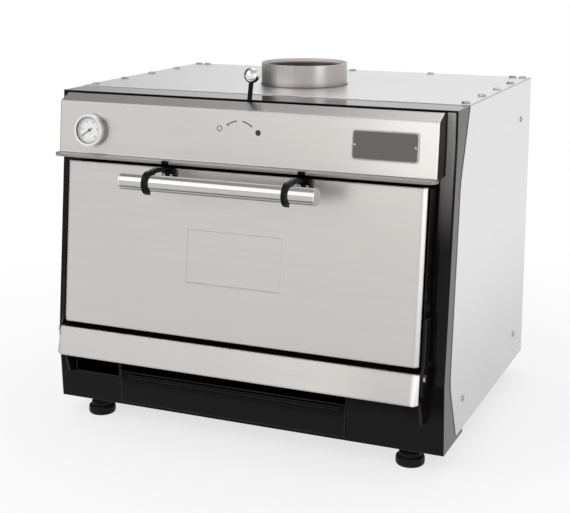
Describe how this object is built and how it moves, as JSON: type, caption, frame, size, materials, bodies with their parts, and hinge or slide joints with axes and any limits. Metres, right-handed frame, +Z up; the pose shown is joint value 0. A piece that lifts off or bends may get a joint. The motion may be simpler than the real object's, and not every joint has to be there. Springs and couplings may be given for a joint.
{
  "type": "charcoal oven",
  "caption": "Closed charcoal oven on feet with a drop-down door, rod grids, charcoal grate, ash drawer, top flue collar with lever damper, and a dial gauge on the fascia.",
  "frame": {"origin": "middle of the outline, on the floor under the feet", "axes": "+Z up, the front faces -Y, +X is on the right of someone who stands in front"},
  "size_m": [0.925, 0.8438, 0.8228],
  "materials": {
    "front_steel": "fine horizontal brushing",
    "sheet_steel": "bright satin sheet",
    "handle_steel": "satin tube",
    "flue_steel": "rolled and welded collar",
    "bolt_steel": "plated fasteners",
    "black_paint": "glossy black heatproof paint",
    "black_coat": "matt black coating",
    "chamber_steel": "heat-darkened steel plate",
    "galvanised": "galvanised sheet",
    "cast_grate": "rough cast iron",
    "grid_steel": "drawn rod, welded",
    "wool": "mineral wool slab",
    "rope_seal": "woven glass rope",
    "bright_trim": "polished",
    "dial_white": "white enamel",
    "gauge_pane": "clear",
    "needle_black": "matt black",
    "bush_brass": "turned",
    "plate_grey": "satin grey",
    "foot_rubber": "moulded"
  },
  "bodies": {
    "carcass": {"fascia": "front_steel", "apron": "front_steel", "top_cover": "sheet_steel", "side_panel_left": "sheet_steel", "side_panel_right": "sheet_steel", "back_panel": "sheet_steel", "flue_collar": "flue_steel", "cover_bolts": "bolt_steel", "side_screws": "bolt_steel", "plate_screws": "bolt_steel", "hinge_pins": "bolt_steel", "foot_studs": "bolt_steel", "foot_nuts": "bolt_steel", "front_frame": "black_paint", "fascia_ends": "black_paint", "hinge_brackets": "black_paint", "bottom_plate": "black_paint", "chamber_sides": "chamber_steel", "chamber_back": "chamber_steel", "chamber_floor": "chamber_steel", "chamber_roof": "chamber_steel", "chamber_supports": "chamber_steel", "drawer_runners": "chamber_steel", "rack_ledges": "chamber_steel", "smoke_duct": "chamber_steel", "cover_rails": "galvanised", "side_struts": "galvanised", "charcoal_grate": "cast_grate", "side_insulation": "wool", "back_insulation": "wool", "top_insulation": "wool", "gauge_bezel": "bright_trim", "gauge_case": "bright_trim", "gauge_probe": "bright_trim", "gauge_dial": "dial_white", "gauge_glass": "gauge_pane", "damper_bushes": "bush_brass", "bare_plate": "plate_grey", "foot_pads": "foot_rubber"},
    "door": {"door_skin": "front_steel", "door_liner": "chamber_steel", "door_insulation": "wool", "door_gasket": "rope_seal", "hinge_arms": "black_paint", "handle_tube": "handle_steel", "handle_caps": "handle_steel", "handle_hooks": "black_coat", "handle_bolts": "bolt_steel"},
    "damper": {"damper_shaft": "chamber_steel", "damper_disc": "chamber_steel", "damper_lever": "black_coat", "lever_knob": "bright_trim"},
    "ash_drawer": {"drawer_front": "black_paint", "drawer_tray": "chamber_steel"},
    "pointer": {"gauge_pointer": "needle_black"},
    "grid_lower": {"cooking_grid_lower": "grid_steel"},
    "grid_upper": {"cooking_grid_upper": "grid_steel"}
  },
  "joints": [
    {"name": "door_hinge", "type": "hinge", "parent": "carcass", "child": "door", "pos_m": [0, -0.32909, 0.221], "axis": [1, 0, 0], "range_deg": [0, 96]},
    {"name": "damper_turn", "type": "hinge", "parent": "carcass", "child": "damper", "pos_m": [0, -0.24009, 0.693], "axis": [0, 1, 0], "range_deg": [-51.5, 38.5]},
    {"name": "drawer_slide", "type": "slide", "parent": "carcass", "child": "ash_drawer", "axis": [0, -1, 0], "range_m": [0, 0.3]},
    {"name": "pointer_turn", "type": "hinge", "parent": "carcass", "child": "pointer", "pos_m": [-0.3525, -0.2955, 0.67404], "axis": [0, 0.9945, -0.1045], "range_deg": [0, 270]},
    {"name": "grid_lower_slide", "type": "slide", "parent": "carcass", "child": "grid_lower", "axis": [0, -1, 0], "range_m": [0, 0.06]},
    {"name": "grid_upper_slide", "type": "slide", "parent": "carcass", "child": "grid_upper", "axis": [0, -1, 0], "range_m": [0, 0.06]}
  ]
}
